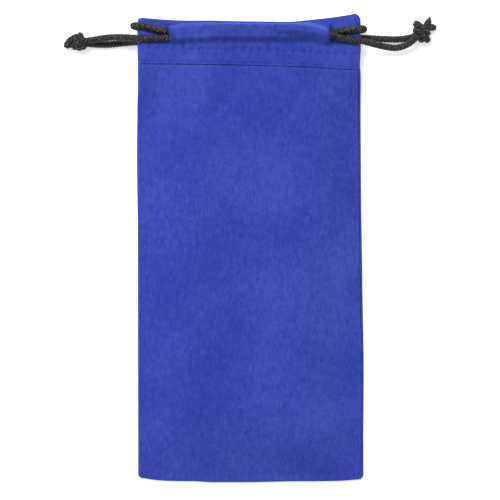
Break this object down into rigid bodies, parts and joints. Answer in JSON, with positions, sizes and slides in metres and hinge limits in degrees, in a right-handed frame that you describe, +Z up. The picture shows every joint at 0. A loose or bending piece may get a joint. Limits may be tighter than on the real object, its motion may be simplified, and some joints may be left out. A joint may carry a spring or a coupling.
{
  "type": "soft drawstring pouch glasses case",
  "caption": "Soft microfibre drawstring pouch for glasses, lying flat, with a hemmed cord channel and a knotted draw cord at each side of the mouth.",
  "frame": {"origin": "on the table, under the middle of the pouch without its cords", "axes": "+Z up from the table through the pouch, +Y towards the mouth, +X to the sewn side"},
  "size_m": [0.1492, 0.1861, 0.0146],
  "materials": {
    "cloth": "royal blue knitted microfibre with a fine matt nap",
    "thread": "fine polyester sewing thread in the cloth's blue",
    "cord": "charcoal braided polyester cord, slightly shiny"
  },
  "bodies": {
    "pouch": {"front_panel": "cloth", "back_panel": "cloth", "left_fold": "cloth", "side_seam": "cloth", "side_seam_allowance": "cloth", "bottom_seam": "cloth", "bottom_seam_allowance": "cloth", "front_channel": "cloth", "back_channel": "cloth", "front_mouth_fold": "cloth", "back_mouth_fold": "cloth", "front_hem": "cloth", "back_hem": "cloth", "front_channel_stitching": "thread", "back_channel_stitching": "thread", "front_hem_stitching": "thread", "back_hem_stitching": "thread", "side_seam_thread": "thread", "bottom_seam_thread": "thread", "front_left_buttonhole": "thread", "front_right_buttonhole": "thread", "back_left_buttonhole": "thread", "back_right_buttonhole": "thread"},
    "left_drawstring": {"left_cord": "cord", "left_knot": "cord", "left_cord_ends": "cord"},
    "right_drawstring": {"right_cord": "cord", "right_knot": "cord", "right_cord_ends": "cord"}
  },
  "joints": [
    {"name": "left_cord_draw", "type": "slide", "parent": "pouch", "child": "left_drawstring", "axis": [-1, 0, 0], "range_m": [0, 0.022], "deforming": ["left_cord"]},
    {"name": "right_cord_draw", "type": "slide", "parent": "pouch", "child": "right_drawstring", "axis": [1, 0, 0], "range_m": [0, 0.022], "deforming": ["right_cord"]}
  ]
}
